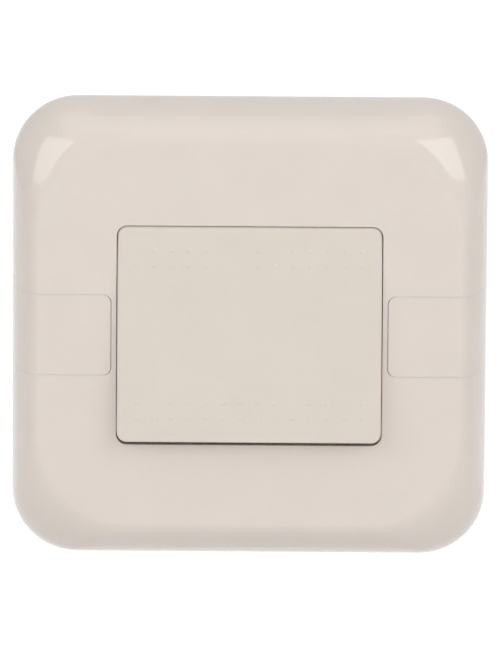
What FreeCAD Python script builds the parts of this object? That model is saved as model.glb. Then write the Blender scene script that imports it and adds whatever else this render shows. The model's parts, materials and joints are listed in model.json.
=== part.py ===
import FreeCAD, Part
import math
import os
from types import SimpleNamespace

import Sketcher

# Single rocker switch on a flush wall plate, for a round 60 mm wall box.
# +Z is up, +X is to the right and the front faces -Y. The origin is the middle of the
# switch on the wall plane y = 0: the plate stands in front of it, the mechanism behind it.
# Distances called "forward" are measured from the wall plane towards the front.

SIZES = {
    # Cover frame: a pillow-shaped plate, open at the back
    "plate_width": 83.0,
    "plate_height": 81.0,
    "plate_depth": 11.0,
    "rim_corner": 11.5,
    "face_corner": 16.0,
    "side_roll": 4.9,
    "end_roll": 7.0,
    "roll_fullness": 1.7,
    "cover_wall": 2.4,
    "cover_bevel": 6.0,
    "collar_wall": 1.0,
    "collar_depth": 4.0,
    "opening_edge": 0.15,
    # Snap legs that hold the cover frame to the support strap
    "leg_level": 11.0,
    "leg_thickness": 1.6,
    "leg_width": 5.0,
    "leg_reach": 1.6,
    "leg_hook": 0.6,
    "leg_slack": 0.3,
    # Inserts let into the left and right side of the plate
    "insert_lip": 1.0,
    "insert_height": 14.3,
    "insert_corner": 1.4,
    "insert_skin": 1.2,
    "insert_seam": 0.12,
    "insert_bed": 0.05,
    # Rocker: the cap that is pressed and what it turns on
    "cap_width": 46.3,
    "cap_height": 38.0,
    "cap_corner": 1.7,
    "cap_edge": 0.4,
    "cap_face": 1.8,
    "cap_skirt": 1.5,
    "cap_stand": 5.5,
    "skirt_reach": 0.5,
    "side_gap": 0.15,
    "end_gap": 0.5,
    "rib_inset": 4.15,
    "rib_thickness": 0.9,
    "rib_depth": 1.4,
    "cap_proud": 1.5,
    "rocker_tilt": 5.0,
    # Raised dots along the upper and the lower end of the cap
    "dot_end_margin": 3.42,
    "dot_radius": 0.42,
    "dot_height": 0.16,
    "dot_row_margin": 4.32,
    "dot_row_spacing": 2.63,
    "dot_pitch": 3.035,
    # Carrier under the cap, with its trunnions and the spring post
    "carrier_inset": 0.8,
    "carrier_height": 22.0,
    "carrier_thickness": 2.4,
    "carrier_gap": 0.1,
    "clip_width": 8.0,
    "clip_wall": 1.2,
    "clip_lip": 0.6,
    "web_thickness": 2.0,
    "web_gap": 0.6,
    "web_height": 6.0,
    "web_drop": 1.9,
    "trunnion_radius": 1.5,
    "trunnion_end_gap": 0.4,
    "post_wall": 1.42,
    "post_drop": 9.0,
    # Spring-loaded plunger that throws the contact lever over
    "plunger_radius": 2.0,
    "plunger_gap": 0.1,
    "plunger_shoulder": 5.2,
    "nose_length": 1.2,
    "nose_radius": 0.4,
    "plunger_fit": 0.08,
        "spring_wire": 0.5,
    "spring_side_gap": 0.2,
    "spring_end_gap": 0.05,
    # Contact lever, its contacts and the bracket it rocks in
    "lever_back": 8.5,
    "lever_tilt": 10.0,
    "lever_bend": 7.0,
    "lever_arm": 8.5,
    "lever_width": 5.0,
    "lever_thickness": 0.8,
    "lever_pin_radius": 0.65,
    "lever_pin_overhang": 0.3,
    "contact_reach": 7.0,
    "contact_radius": 1.5,
    "contact_thickness": 0.9,
    "contact_gap": 0.08,
    "bracket_sheet": 1.0,
    "ear_gap": 0.4,
    "ear_height": 4.4,
    "ear_lip": 1.3,
    "notch_slack": 0.1,
    "bracket_tail": 3.0,
    "tab_depth": 4.0,
    "bracket_width": 6.0,
    "bracket_overhang": 2.2,
    # Terminal pillars and their screws
    "pillar_width": 7.0,
    "pillar_start": 12.5,
    "pillar_height": 7.0,
    "pillar_rise": 2.0,
    "pillar_depth": 8.0,
    "pillar_fit": 0.2,
    "wire_inset": 2.3,
    "wire_radius": 1.6,
    "terminal_shank": 1.5,
    "terminal_wire_gap": 0.2,
    "terminal_head_radius": 2.3,
    "terminal_head": 1.6,
    "thread_fit": 0.05,
    "driver_slot_width": 0.8,
    "driver_slot_depth": 0.9,
    # Moulded base that holds the contacts
    "base_width": 40.0,
    "base_end_wall": 2.3,
    "base_back_wall": 3.8,
    "base_corner": 4.0,
    "base_chamfer": 1.5,
    "chamber_width": 16.0,
    "chamber_overlap": 0.3,
    "lever_room": 5.5,
    "funnel_radius": 1.8,
    "head_hole_slack": 0.2,
    # Steel support strap
    "strap_side_margin": 6.0,
    "strap_end_margin": 5.0,
    "strap_thickness": 1.0,
    "strap_corner": 6.0,
    "window_side_gap": 0.6,
    "window_end_gap": 0.5,
    "fixing_spacing": 60.0,
    "fixing_slot_length": 7.0,
    "fixing_slot_radius": 2.1,
    # Front bezel that clamps the contacts and carries the trunnions
    "bezel_side_margin": 1.0,
    "bezel_end_margin": 2.0,
    "bezel_thickness": 3.0,
    "bezel_corner": 3.0,
    "throat_side_gap": 1.0,
    "throat_swing_gap": 1.5,
    "cheek_inside": 13.4,
    "cheek_thickness": 3.2,
    "cheek_height": 10.0,
    "cheek_top": 2.3,
    "trunnion_fit": 0.06,
    "snap_width": 2.6,
    "stop_side": 8.0,
    "stop_width": 2.0,
    "stop_inset": 2.0,
    "stop_height": 1.5,
    "stop_gap": 0.1,
    "keeper_width": 6.0,
    "keeper_height": 6.0,
    "keeper_gap": 0.1,
    # Rivets through bezel, strap and base
    "rivet_inset": 2.7,
    "rivet_radius": 1.25,
    "rivet_head_radius": 2.1,
    "rivet_head": 0.6,
    "rivet_fit": 0.05,
    # Spreading claws and their screws
    "claw_stand": 2.0,
    "claw_hinge_back": 3.2,
    "claw_tilt": 13.0,
    "claw_sheet": 1.2,
    "claw_width": 10.0,
    "claw_boss": 1.5,
    "claw_tab": 6.4,
    "claw_arm": 15.5,
    "claw_tooth": 2.2,
    "claw_tooth_angle": 60.0,
    "claw_slot_width": 4.2,
    "claw_slot_start": 1.9,
    "claw_slot_end": 11.5,
    "claw_pin_radius": 0.8,
    "claw_pin_fit": 0.06,
    "lug_gap": 0.4,
    "lug_sheet": 1.0,
    "lug_width": 3.4,
    "lug_reach": 5.0,
    "claw_screw_offset": 4.2,
    "claw_screw_radius": 1.5,
    "claw_screw_length": 14.0,
    "claw_screw_head_radius": 2.75,
    "claw_screw_head": 2.0,
    "claw_screw_seat": 0.05,
    "claw_screw_fit": 0.1,
    "claw_hole_radius": 2.0,
}

OUTER_ROLL_STEPS = 7
INNER_ROLL_STEPS = 3
SPRING_TURNS = 2
WIRE_SIDES = 4
DOT_SIDES = 4

FRONT = "XZ_Plane"
SIDE = "YZ_Plane"
TOP = "XY_Plane"
ORIGIN_POINT = (-1, 1)
START, END, CENTRE = range(1, 4)
EVERY_WAY_THROUGH = 1.0

doc = FreeCAD.newDocument("single_switch")


class Size:
    """A number that keeps the sheet formula it comes from, so that features stay bound to it."""

    def __init__(self, formula, value):
        self.formula = formula
        self.value = value

    def join(self, sign, other, value):
        return Size(f"({self.formula} {sign} {other.formula})", value)

    def __add__(self, other):
        other = as_size(other)
        return self.join("+", other, self.value + other.value)

    def __sub__(self, other):
        other = as_size(other)
        return self.join("-", other, self.value - other.value)

    def __mul__(self, other):
        other = as_size(other)
        return self.join("*", other, self.value * other.value)

    def __truediv__(self, other):
        other = as_size(other)
        return self.join("/", other, self.value / other.value)

    def __pow__(self, other):
        other = as_size(other)
        return self.join("^", other, self.value ** other.value)

    def __neg__(self):
        return Size(f"(0 - {self.formula})", -self.value)

    __radd__ = __add__

    def __rsub__(self, other):
        return as_size(other) - self

    def __rmul__(self, other):
        return as_size(other) * self

    def __rtruediv__(self, other):
        return as_size(other) / self


def as_size(number):
    return number if isinstance(number, Size) else Size(repr(float(number)), float(number))


def sin_of(angle):
    return Size(f"sin({angle.formula})", math.sin(math.radians(angle.value)))


def cos_of(angle):
    return Size(f"cos({angle.formula})", math.cos(math.radians(angle.value)))


def make_sheet():
    sheet = doc.addObject("Spreadsheet::Sheet", "sizes")
    for row, (alias, number) in enumerate(SIZES.items(), start=1):
        sheet.set(f"A{row}", alias)
        sheet.set(f"B{row}", str(number))
        sheet.setAlias(f"B{row}", alias)
    doc.recompute()
    return SimpleNamespace(**{alias: Size(f"sizes.{alias}", sheet.get(alias)) for alias in SIZES})


s = make_sheet()


def add_places():
    """Sizes and places that follow from the sheet's own: what fits in, seats on or lines up."""
    s.opening_side = s.cap_width / 2 + s.side_gap
    s.opening_end = s.cap_height / 2 + s.end_gap
    s.insert_start = s.opening_side + s.insert_lip
    s.leg_side = s.opening_side + s.collar_wall + s.leg_thickness / 2

    s.pivot_forward = s.plate_depth + s.cap_proud - s.cap_stand
    s.rib_side = s.cap_width / 2 - s.rib_inset
    s.dot_row_length = s.cap_width - 2 * s.dot_end_margin
    s.dot_row_outer = s.cap_height / 2 - s.dot_row_margin
    s.dot_row_inner = s.dot_row_outer - s.dot_row_spacing
    s.web_outside = s.cheek_inside - s.web_gap
    s.carrier_side = s.web_outside - s.carrier_inset
    s.trunnion_reach = s.cheek_inside + s.cheek_thickness - s.trunnion_end_gap
    s.post_radius = s.plunger_radius + s.plunger_fit + s.post_wall

    s.plunger_reach = s.pivot_forward + s.lever_back - s.lever_thickness / 2 - s.plunger_gap
    s.spring_radius = s.plunger_radius - s.spring_wire / 2 - s.spring_side_gap
    s.spring_pitch = (s.plunger_shoulder - s.spring_wire - s.spring_end_gap) / SPRING_TURNS
    s.ear_inside = s.lever_width / 2 + s.ear_gap
    s.lever_pin_reach = s.ear_inside + s.bracket_sheet + s.lever_pin_overhang

    s.chamber_depth = s.lever_back + s.lever_room
    s.pillar_front = s.chamber_depth - s.pillar_rise
    s.pillar_end = s.pillar_start + s.pillar_height
    s.cell_inner = s.pillar_start - s.bracket_sheet - s.pillar_fit
    s.cell_outer = s.pillar_end + s.pillar_fit
    s.chamber_end = s.cell_inner + s.chamber_overlap
    s.wire_level = s.pillar_start + s.wire_inset
    s.terminal_shank_end = s.wire_level + s.wire_radius + s.terminal_wire_gap
    s.base_side = s.base_width / 2
    s.base_end = s.cell_outer + s.base_end_wall
    s.base_depth = s.pillar_front + s.pillar_depth + s.pillar_fit + s.base_back_wall

    s.strap_side = s.plate_width / 2 - s.strap_side_margin
    s.strap_end = s.plate_height / 2 - s.strap_end_margin
    s.window_side = s.chamber_width / 2 + s.window_side_gap
    s.window_end = s.cell_outer + s.window_end_gap
    s.bezel_side = s.base_side - s.bezel_side_margin
    s.bezel_end = s.base_end - s.bezel_end_margin
    s.throat_side = s.post_radius + s.throat_side_gap
    s.throat_end = s.post_radius + s.throat_swing_gap
    s.stop_start = s.carrier_height / 2 - s.stop_inset
    s.rivet_side = s.chamber_width / 2 + s.rivet_inset
    s.claw_hinge_side = s.base_side + s.claw_stand
    s.claw_screw_side = s.claw_hinge_side + s.claw_screw_offset


add_places()


# Sketches

def bind(thing, path, size):
    thing.setExpression(path, as_size(size).formula)


def constrain(sketch, kind, size, *where):
    size = as_size(size)
    number = sketch.addConstraint(Sketcher.Constraint(kind, *where, size.value))
    bind(sketch, f"Constraints[{number}]", size)


def pin_point(sketch, geometry, point, x, y):
    constrain(sketch, "DistanceX", x, *ORIGIN_POINT, geometry, point)
    constrain(sketch, "DistanceY", y, *ORIGIN_POINT, geometry, point)


def vector(x, y, z=0.0):
    return FreeCAD.Vector(*(as_size(number).value for number in (x, y, z)))


def line(sketch, start, end):
    return sketch.addGeometry(Part.LineSegment(vector(*start), vector(*end)), False)


def arc(sketch, centre, radius, first, last):
    circle_line = Part.Circle(vector(*centre), vector(0, 0, 1), as_size(radius).value)
    quarter = Part.ArcOfCircle(circle_line, math.radians(first), math.radians(last))
    return sketch.addGeometry(quarter, False)


def polygon(sketch, points):
    lines = [line(sketch, start, end) for start, end in zip(points, points[1:] + points[:1])]
    for before, after in zip(lines, lines[1:] + lines[:1]):
        sketch.addConstraint(Sketcher.Constraint("Coincident", before, END, after, START))
    for number, (x, y) in zip(lines, points):
        pin_point(sketch, number, START, x, y)


def rectangle(sketch, left, right, bottom, top):
    polygon(sketch, [(left, bottom), (right, bottom), (right, top), (left, top)])


def circle(sketch, x, y, radius):
    middle = vector(x, y)
    number = sketch.addGeometry(Part.Circle(middle, vector(0, 0, 1), as_size(radius).value), False)
    constrain(sketch, "Radius", radius, number)
    pin_point(sketch, number, CENTRE, x, y)


def rounded_rectangle(sketch, left, right, bottom, top, corner):
    low, high = bottom + corner, top - corner
    near, far = left + corner, right - corner
    base = line(sketch, (near, bottom), (far, bottom))
    turn_1 = arc(sketch, (far, low), corner, -90, 0)
    right_side = line(sketch, (right, low), (right, high))
    turn_2 = arc(sketch, (far, high), corner, 0, 90)
    roof = line(sketch, (far, top), (near, top))
    turn_3 = arc(sketch, (near, high), corner, 90, 180)
    left_side = line(sketch, (left, high), (left, low))
    turn_4 = arc(sketch, (near, low), corner, 180, 270)
    loop = [base, turn_1, right_side, turn_2, roof, turn_3, left_side, turn_4]
    for before, after in zip(loop, loop[1:] + loop[:1]):
        sketch.addConstraint(Sketcher.Constraint("Tangent", before, END, after, START))
    for number, way in ((base, "Horizontal"), (roof, "Horizontal")):
        sketch.addConstraint(Sketcher.Constraint(way, number))
    for number in (right_side, left_side):
        sketch.addConstraint(Sketcher.Constraint("Vertical", number))
    for number in (turn_2, turn_3, turn_4):
        sketch.addConstraint(Sketcher.Constraint("Equal", turn_1, number))
    constrain(sketch, "Radius", corner, turn_1)
    constrain(sketch, "DistanceX", left, *ORIGIN_POINT, left_side, START)
    constrain(sketch, "DistanceX", right, *ORIGIN_POINT, right_side, START)
    constrain(sketch, "DistanceY", bottom, *ORIGIN_POINT, base, START)
    constrain(sketch, "DistanceY", top, *ORIGIN_POINT, roof, START)


def upright_slot(sketch, x, y, half_length, radius):
    reach = half_length - radius
    right_side = line(sketch, (x + radius, y - reach), (x + radius, y + reach))
    roof = arc(sketch, (x, y + reach), radius, 0, 180)
    left_side = line(sketch, (x - radius, y + reach), (x - radius, y - reach))
    base = arc(sketch, (x, y - reach), radius, 180, 360)
    loop = [right_side, roof, left_side, base]
    for before, after in zip(loop, loop[1:] + loop[:1]):
        sketch.addConstraint(Sketcher.Constraint("Tangent", before, END, after, START))
    sketch.addConstraint(Sketcher.Constraint("Equal", roof, base))
    constrain(sketch, "Radius", radius, roof)
    pin_point(sketch, roof, CENTRE, x, y + reach)
    pin_point(sketch, base, CENTRE, x, y - reach)


def regular_polygon(sketch, x, y, radius, sides):
    corners = [as_size(360.0 * (number + 0.5) / sides) for number in range(sides)]
    polygon(sketch, [(x + radius * cos_of(angle), y + radius * sin_of(angle)) for angle in corners])


def bar(sketch, start, angle, length, thickness):
    """A straight strip of sheet seen on its edge, from its start along an angle."""
    along_x, along_y = cos_of(angle), sin_of(angle)
    out_x, out_y = -along_y * thickness / 2, along_x * thickness / 2
    x, y = start
    end_x, end_y = x + along_x * length, y + along_y * length
    polygon(sketch, [
        (x - out_x, y - out_y),
        (end_x - out_x, end_y - out_y),
        (end_x + out_x, end_y + out_y),
        (x + out_x, y + out_y),
    ])


# Bodies and their features

def new_body(name):
    body = doc.addObject("PartDesign::Body", name)
    body.Label = name
    return body


def new_sketch(body, name, role, height=0.0):
    """A sketch in its body, parallel to an origin plane and raised along that plane's normal."""
    height = as_size(height)
    sketch = body.newObject("Sketcher::SketchObject", f"{body.Name}_{name}")
    origin_plane = next(one for one in body.Origin.OriginFeatures if one.Role == role)
    sketch.AttachmentSupport = [(origin_plane, "")]
    sketch.MapMode = "FlatFace"
    sketch.AttachmentOffset = FreeCAD.Placement(vector(0, 0, height), FreeCAD.Rotation())
    bind(sketch, "AttachmentOffset.Base.z", height)
    return sketch


def pad(body, sketch, length):
    feature = body.newObject("PartDesign::Pad", f"{sketch.Name}_pad")
    feature.Profile = sketch
    bind(feature, "Length", length)
    return feature


def pocket(body, sketch, length, onward=False):
    """Cuts against the sketch's normal, or along it when onward."""
    feature = body.newObject("PartDesign::Pocket", f"{sketch.Name}_pocket")
    feature.Profile = sketch
    feature.Reversed = onward
    bind(feature, "Length", length)
    return feature


def edges_in_plane(feature, axis, level):
    """Names of the edges of a feature that lie in the plane at that level of X, Y or Z."""
    doc.recompute()
    names = []
    for number, edge in enumerate(feature.Shape.Edges, start=1):
        box = edge.BoundBox
        low, high = getattr(box, f"{axis}Min"), getattr(box, f"{axis}Max")
        if max(abs(low - level.value), abs(high - level.value)) < 1e-4:
            names.append(f"Edge{number}")
    return names


def bevel_edges(body, base, names, size):
    feature = body.newObject("PartDesign::Chamfer", f"{base.Name}_edge")
    feature.Base = (base, names)
    bind(feature, "Size", size)
    return feature


def row_of_copies(body, feature, sketch, length, pitch):
    """Repeats a feature along its sketch's horizontal axis, as often as the pitch fits."""
    pattern = body.newObject("PartDesign::LinearPattern", f"{feature.Name}_row")
    pattern.Originals = [feature]
    pattern.Direction = (sketch, ["H_Axis"])
    pattern.setExpression("Occurrences", f"round({length.formula} / {pitch.formula}) + 1")
    bind(pattern, "Length", length)
    body.Tip = pattern
    return pattern


def place(thing, x=0.0, y=0.0, z=0.0, axis=(1, 0, 0), angle=0.0):
    turn = FreeCAD.Rotation(FreeCAD.Vector(*axis), as_size(angle).value)
    thing.Placement = FreeCAD.Placement(vector(x, y, z), turn)
    for letter, number in zip("xyz", (x, y, z)):
        bind(thing, f"Placement.Base.{letter}", number)
    bind(thing, "Placement.Rotation.Angle", angle)


# Free sketches and the operations that join them

def front_sketch(name, forward):
    """A free sketch parallel to the wall: its x is X, its y is Z and its normal is -Y."""
    sketch = doc.addObject("Sketcher::SketchObject", name)
    place(sketch, 0, -as_size(forward), 0, (1, 0, 0), 90)
    return sketch


def extrude(sketch, length):
    feature = doc.addObject("Part::Extrusion", f"{sketch.Name}_prism")
    feature.Base = sketch
    feature.DirMode = "Custom"
    feature.Dir = FreeCAD.Vector(0, -1, 0)
    feature.Solid = True
    bind(feature, "LengthFwd", length)
    return feature


def cut(name, base, tool):
    feature = doc.addObject("Part::Cut", name)
    feature.Base = base
    feature.Tool = tool
    return feature


def common(name, base, tool):
    feature = doc.addObject("Part::Common", name)
    feature.Base = base
    feature.Tool = tool
    return feature


def fuse(name, shapes):
    feature = doc.addObject("Part::MultiFuse", name)
    feature.Shapes = shapes
    feature.Refine = True
    return feature


def cylinder(name, radius, length, x, y, z, axis=(1, 0, 0), angle=0.0):
    feature = doc.addObject("Part::Cylinder", name)
    bind(feature, "Radius", radius)
    bind(feature, "Height", length)
    place(feature, x, y, z, axis, angle)
    return feature


# Cover frame and inserts

def pillow(name, inset, steps):
    """The plate's outer form, drawn in by an inset: sections that roll from the rim to the face.

    Each section is a rounded rectangle. From the rim to the face the sides and the ends draw in
    along a superellipse, and the corner radius grows, so that the corners soften towards the face.
    The surfaces run straight between sections, so the visible outside has more of them.
    """
    sections = []
    for step in range(steps + 1):
        angle = as_size(90.0 * step / steps)
        rise = sin_of(angle) ** (2 / s.roll_fullness) if step else as_size(0.0)
        drawn_in = 1 - (cos_of(angle) ** (2 / s.roll_fullness) if step < steps else as_size(0.0))
        half_width = s.plate_width / 2 - inset - s.side_roll * drawn_in
        half_height = s.plate_height / 2 - inset - s.end_roll * drawn_in
        corner = s.rim_corner - inset + (s.face_corner - s.rim_corner) * rise ** 2
        sketch = front_sketch(f"{name}_section_{step}", (s.plate_depth - inset) * rise)
        rounded_rectangle(sketch, -half_width, half_width, -half_height, half_height, corner)
        sections.append(sketch)
    loft = doc.addObject("Part::Loft", name)
    loft.Sections = sections
    loft.Solid = True
    loft.Ruled = True
    return loft


def insert_region(name, side, slack):
    """A prism over one insert, from its inner seam outwards past the rim."""
    outside = s.plate_width
    level = s.insert_height / 2 + slack
    start = s.insert_start - slack
    left, right = (start, outside) if side > 0 else (-outside, -start)
    sketch = front_sketch(name, -EVERY_WAY_THROUGH)
    rounded_rectangle(sketch, left, right, -level, level, s.insert_corner + slack)
    return extrude(sketch, s.plate_depth + 2 * EVERY_WAY_THROUGH)


def make_insert(name, side, form, core):
    shell = cut(f"{name}_shell", form, core)
    insert = common(name, shell, insert_region(f"{name}_region", side, as_size(0.0)))
    insert.Label = name


def snap_leg(name, side, level):
    """A leg from inside the cover's wall down through the strap, with a hook that faces outwards."""
    inner = side * (s.leg_side - s.leg_thickness / 2)
    outer = side * (s.leg_side + s.leg_thickness / 2)
    hooked = side * (s.leg_side + s.leg_thickness / 2 + s.leg_hook)
    low, high = level * s.leg_level - s.leg_width / 2, level * s.leg_level + s.leg_width / 2
    stem = front_sketch(f"{name}_stem", -s.leg_reach)
    rectangle(stem, inner, outer, low, high)
    root = s.plate_depth - s.cover_wall / 2
    hook = front_sketch(f"{name}_hook", -s.leg_reach)
    rectangle(hook, inner, hooked, low, high)
    return [extrude(stem, root + s.leg_reach), extrude(hook, s.leg_reach - s.leg_slack)]


def cover_hollow():
    """The space behind the plate, bevelled in front so that it stays inside the rolled outside."""
    wide, high = s.plate_width / 2 - s.cover_wall, s.plate_height / 2 - s.cover_wall
    corner = s.rim_corner - s.cover_wall
    depth = s.plate_depth - s.cover_wall
    straight = front_sketch("hollow_straight", 0)
    rounded_rectangle(straight, -wide, wide, -high, high, corner)
    sections = []
    for word, drawn_in, forward in (("back", 0.0, depth - s.cover_bevel), ("front", s.cover_bevel, depth)):
        sketch = front_sketch(f"hollow_bevel_{word}", forward)
        near, far = wide - drawn_in, high - drawn_in
        rounded_rectangle(sketch, -near, near, -far, far, corner - drawn_in)
        sections.append(sketch)
    bevel = doc.addObject("Part::Loft", "hollow_bevel")
    bevel.Sections = sections
    bevel.Solid = True
    bevel.Ruled = True
    return [extrude(straight, depth - s.cover_bevel), bevel]


def make_cover_frame(form):
    half_width, half_height = s.opening_side, s.opening_end
    corner = s.cap_corner + s.side_gap
    wall = s.collar_wall
    collar_sketch = front_sketch("cover_collar", s.plate_depth - s.cover_wall - s.collar_depth)
    rounded_rectangle(
        collar_sketch,
        -half_width - wall, half_width + wall, -half_height - wall, half_height + wall, corner + wall,
    )
    collar = extrude(collar_sketch, s.collar_depth + s.cover_wall / 2)
    legs = []
    for side in (-1, 1):
        for level in (-1, 1):
            legs += snap_leg(f"cover_leg_{'left' if side < 0 else 'right'}_{level + 1}", side, level)
    shell = cut("cover_shell", form, fuse("cover_hollow", cover_hollow()))
    solid = fuse("cover_walls", [shell, collar] + legs)
    opening_sketch = front_sketch("cover_opening", -EVERY_WAY_THROUGH)
    rounded_rectangle(opening_sketch, -half_width, half_width, -half_height, half_height, corner)
    cutters = [extrude(opening_sketch, s.plate_depth + 2 * EVERY_WAY_THROUGH)]
    floor = pillow("recess_floor", s.insert_skin + s.insert_bed, INNER_ROLL_STEPS)
    for side, word in ((-1, "left"), (1, "right")):
        region = insert_region(f"recess_region_{word}", side, s.insert_seam)
        cutters.append(cut(f"recess_{word}", region, floor))
    plain = cut("cover_plain", solid, fuse("cover_cutters", cutters))
    doc.recompute()
    rim = [
        number for number, edge in enumerate(plain.Shape.Edges, start=1)
        if abs(edge.BoundBox.YMin + s.plate_depth.value) < 1e-3
        and abs(edge.BoundBox.YMax + s.plate_depth.value) < 1e-3
        and abs(edge.BoundBox.Center.x) < half_width.value + 0.01
        and abs(edge.BoundBox.Center.z) < half_height.value + 0.01
    ]
    cover = doc.addObject("Part::Chamfer", "cover_frame")
    cover.Base = plain
    cover.Edges = [(number, s.opening_edge.value, s.opening_edge.value) for number in rim]
    cover.Label = "cover_frame"


# Rocker: every piece is drawn about the pivot and tilted at rest, with its upper end pressed in

def place_on_rocker(body):
    place(body, 0, -s.pivot_forward, 0, (1, 0, 0), -s.rocker_tilt)


def carrier_levels():
    front = s.cap_stand - s.cap_face - s.carrier_gap
    return front - s.carrier_thickness, front


def make_rocker_cap():
    body = new_body("rocker_cap")
    half_width, half_height = s.cap_width / 2, s.cap_height / 2
    outline = new_sketch(body, "outline", FRONT, -s.skirt_reach)
    rounded_rectangle(outline, -half_width, half_width, -half_height, half_height, s.cap_corner)
    block = pad(body, outline, s.cap_stand + s.skirt_reach)
    front_edges = edges_in_plane(block, "Y", -s.cap_stand)
    bevel_edges(body, block, front_edges, s.cap_edge)

    hollow = new_sketch(body, "hollow", FRONT, -s.skirt_reach)
    inner_width, inner_height = half_width - s.cap_skirt, half_height - s.cap_skirt
    rounded_rectangle(hollow, -inner_width, inner_width, -inner_height, inner_height, s.cap_corner)
    pocket(body, hollow, s.cap_stand + s.skirt_reach - s.cap_face, onward=True)

    inner_face = s.cap_stand - s.cap_face
    seated = s.cap_face / 4
    for side, word in ((-1, "left"), (1, "right")):
        rib = new_sketch(body, f"rib_{word}", FRONT, inner_face - s.rib_depth)
        left = side * s.rib_side - s.rib_thickness / 2
        rectangle(rib, left, left + s.rib_thickness, -inner_height, inner_height)
        pad(body, rib, s.rib_depth + seated)

    carrier_back, _ = carrier_levels()
    lip_back = carrier_back - s.carrier_gap - s.clip_lip
    for level, word in ((-1, "lower"), (1, "upper")):
        near = s.carrier_height / 2 + s.carrier_gap
        far = near + s.clip_wall
        lip = near - s.clip_lip
        clip = new_sketch(body, f"clip_{word}", FRONT, lip_back)
        rectangle(clip, -s.clip_width / 2, s.clip_width / 2, *sorted_pair(level * near, level * far))
        pad(body, clip, inner_face + seated - lip_back)
        hook = new_sketch(body, f"hook_{word}", FRONT, lip_back)
        rectangle(hook, -s.clip_width / 2, s.clip_width / 2, *sorted_pair(level * lip, level * far))
        pad(body, hook, s.clip_lip)

    rows = (-s.dot_row_outer, -s.dot_row_inner, s.dot_row_inner, s.dot_row_outer)
    for number, level in enumerate(rows):
        dot = new_sketch(body, f"dot_{number}", FRONT, s.cap_stand)
        regular_polygon(dot, -s.dot_row_length / 2, level, s.dot_radius, DOT_SIDES)
        row_of_copies(body, pad(body, dot, s.dot_height), dot, s.dot_row_length, s.dot_pitch)
    place_on_rocker(body)


def sorted_pair(first, second):
    return (first, second) if first.value < second.value else (second, first)


def make_rocker_carrier():
    body = new_body("rocker_carrier")
    back, front = carrier_levels()
    half_width, half_height = s.carrier_side, s.carrier_height / 2
    plate = new_sketch(body, "plate", FRONT, back)
    rectangle(plate, -half_width, half_width, -half_height, half_height)
    pad(body, plate, front - back)
    for side, word in ((-1, "left"), (1, "right")):
        web = new_sketch(body, f"web_{word}", FRONT, -s.web_drop)
        edges = sorted_pair(side * (s.web_outside - s.web_thickness), side * s.web_outside)
        rectangle(web, *edges, -s.web_height / 2, s.web_height / 2)
        pad(body, web, front + s.web_drop)
        inner, outer = s.web_outside - s.web_thickness / 2, s.trunnion_reach
        trunnion = new_sketch(body, f"trunnion_{word}", SIDE, inner if side > 0 else -outer)
        circle(trunnion, 0, 0, s.trunnion_radius)
        pad(body, trunnion, outer - inner)
    post = new_sketch(body, "post", FRONT, -s.post_drop)
    circle(post, 0, 0, s.post_radius)
    pad(body, post, s.post_drop + back + s.carrier_thickness / 2)
    well = new_sketch(body, "well", FRONT, -s.post_drop)
    circle(well, 0, 0, s.plunger_radius + s.plunger_fit)
    pocket(body, well, s.post_drop, onward=True)
    place_on_rocker(body)


def make_plunger():
    nose_place = s.plunger_reach - s.nose_length
    shoulder = s.plunger_shoulder
    nose = doc.addObject("Part::Cone", "plunger_nose")
    bind(nose, "Radius1", s.plunger_radius)
    bind(nose, "Radius2", s.nose_radius)
    bind(nose, "Height", s.nose_length)
    place(nose, 0, nose_place, 0, (1, 0, 0), -90)
    rod = cylinder("plunger_rod", s.plunger_radius, nose_place - shoulder, 0, nose_place, 0, angle=90)
    plunger = fuse("plunger", [nose, rod])
    plunger.Label = "plunger"
    place_on_rocker(plunger)


def make_contact_spring():
    """A coil from the bottom of the post's well to the plunger's shoulder."""
    body = new_body("contact_spring")
    wire = new_sketch(body, "wire", TOP)
    regular_polygon(wire, s.spring_radius, s.spring_wire / 2, s.spring_wire / 2, WIRE_SIDES)
    coil = body.newObject("PartDesign::AdditiveHelix", "contact_spring_coil")
    coil.Profile = wire
    coil.ReferenceAxis = (wire, ["V_Axis"])
    coil.Mode = "pitch-turns-angle"
    coil.Turns = SPRING_TURNS
    bind(coil, "Pitch", s.spring_pitch)
    place_on_rocker(body)


# Contact lever and contacts

def place_on_lever(body):
    place(body, 0, s.lever_back, 0, (1, 0, 0), s.lever_tilt)


def make_contact_lever():
    body = new_body("contact_lever")
    bend_sin, bend_cos = sin_of(s.lever_bend), cos_of(s.lever_bend)
    half = s.lever_thickness / 2
    tip_back, tip_up = -s.lever_arm * bend_sin, s.lever_arm * bend_cos
    profile = new_sketch(body, "profile", SIDE, -s.lever_width / 2)
    polygon(profile, [
        (-half / bend_cos, as_size(0.0)),
        (tip_back - half * bend_cos, -tip_up + half * bend_sin),
        (tip_back + half * bend_cos, -tip_up - half * bend_sin),
        (half / bend_cos, as_size(0.0)),
        (tip_back + half * bend_cos, tip_up + half * bend_sin),
        (tip_back - half * bend_cos, tip_up - half * bend_sin),
    ])
    pad(body, profile, s.lever_width)
    pin_root = s.lever_width / 2 - s.lever_thickness
    for side, word in ((-1, "left"), (1, "right")):
        pin = new_sketch(body, f"pin_{word}", SIDE, pin_root if side > 0 else -s.lever_pin_reach)
        circle(pin, 0, 0, s.lever_pin_radius)
        pad(body, pin, s.lever_pin_reach - pin_root)
    place_on_lever(body)


def contact_button(name):
    """A contact about its own axis, with its face towards -Y and its back on the strip it sits on."""
    body = new_body(name)
    button = new_sketch(body, "button", FRONT, 0)
    circle(button, 0, 0, s.contact_radius)
    pad(body, button, s.contact_thickness)
    return body


def contact_place():
    """Where the lower arm's centre line meets the moving contact's axis, and how far it leans back."""
    lean = s.lever_tilt - s.lever_bend
    return s.lever_back + s.contact_reach * sin_of(lean), -s.contact_reach * cos_of(lean), lean


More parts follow.
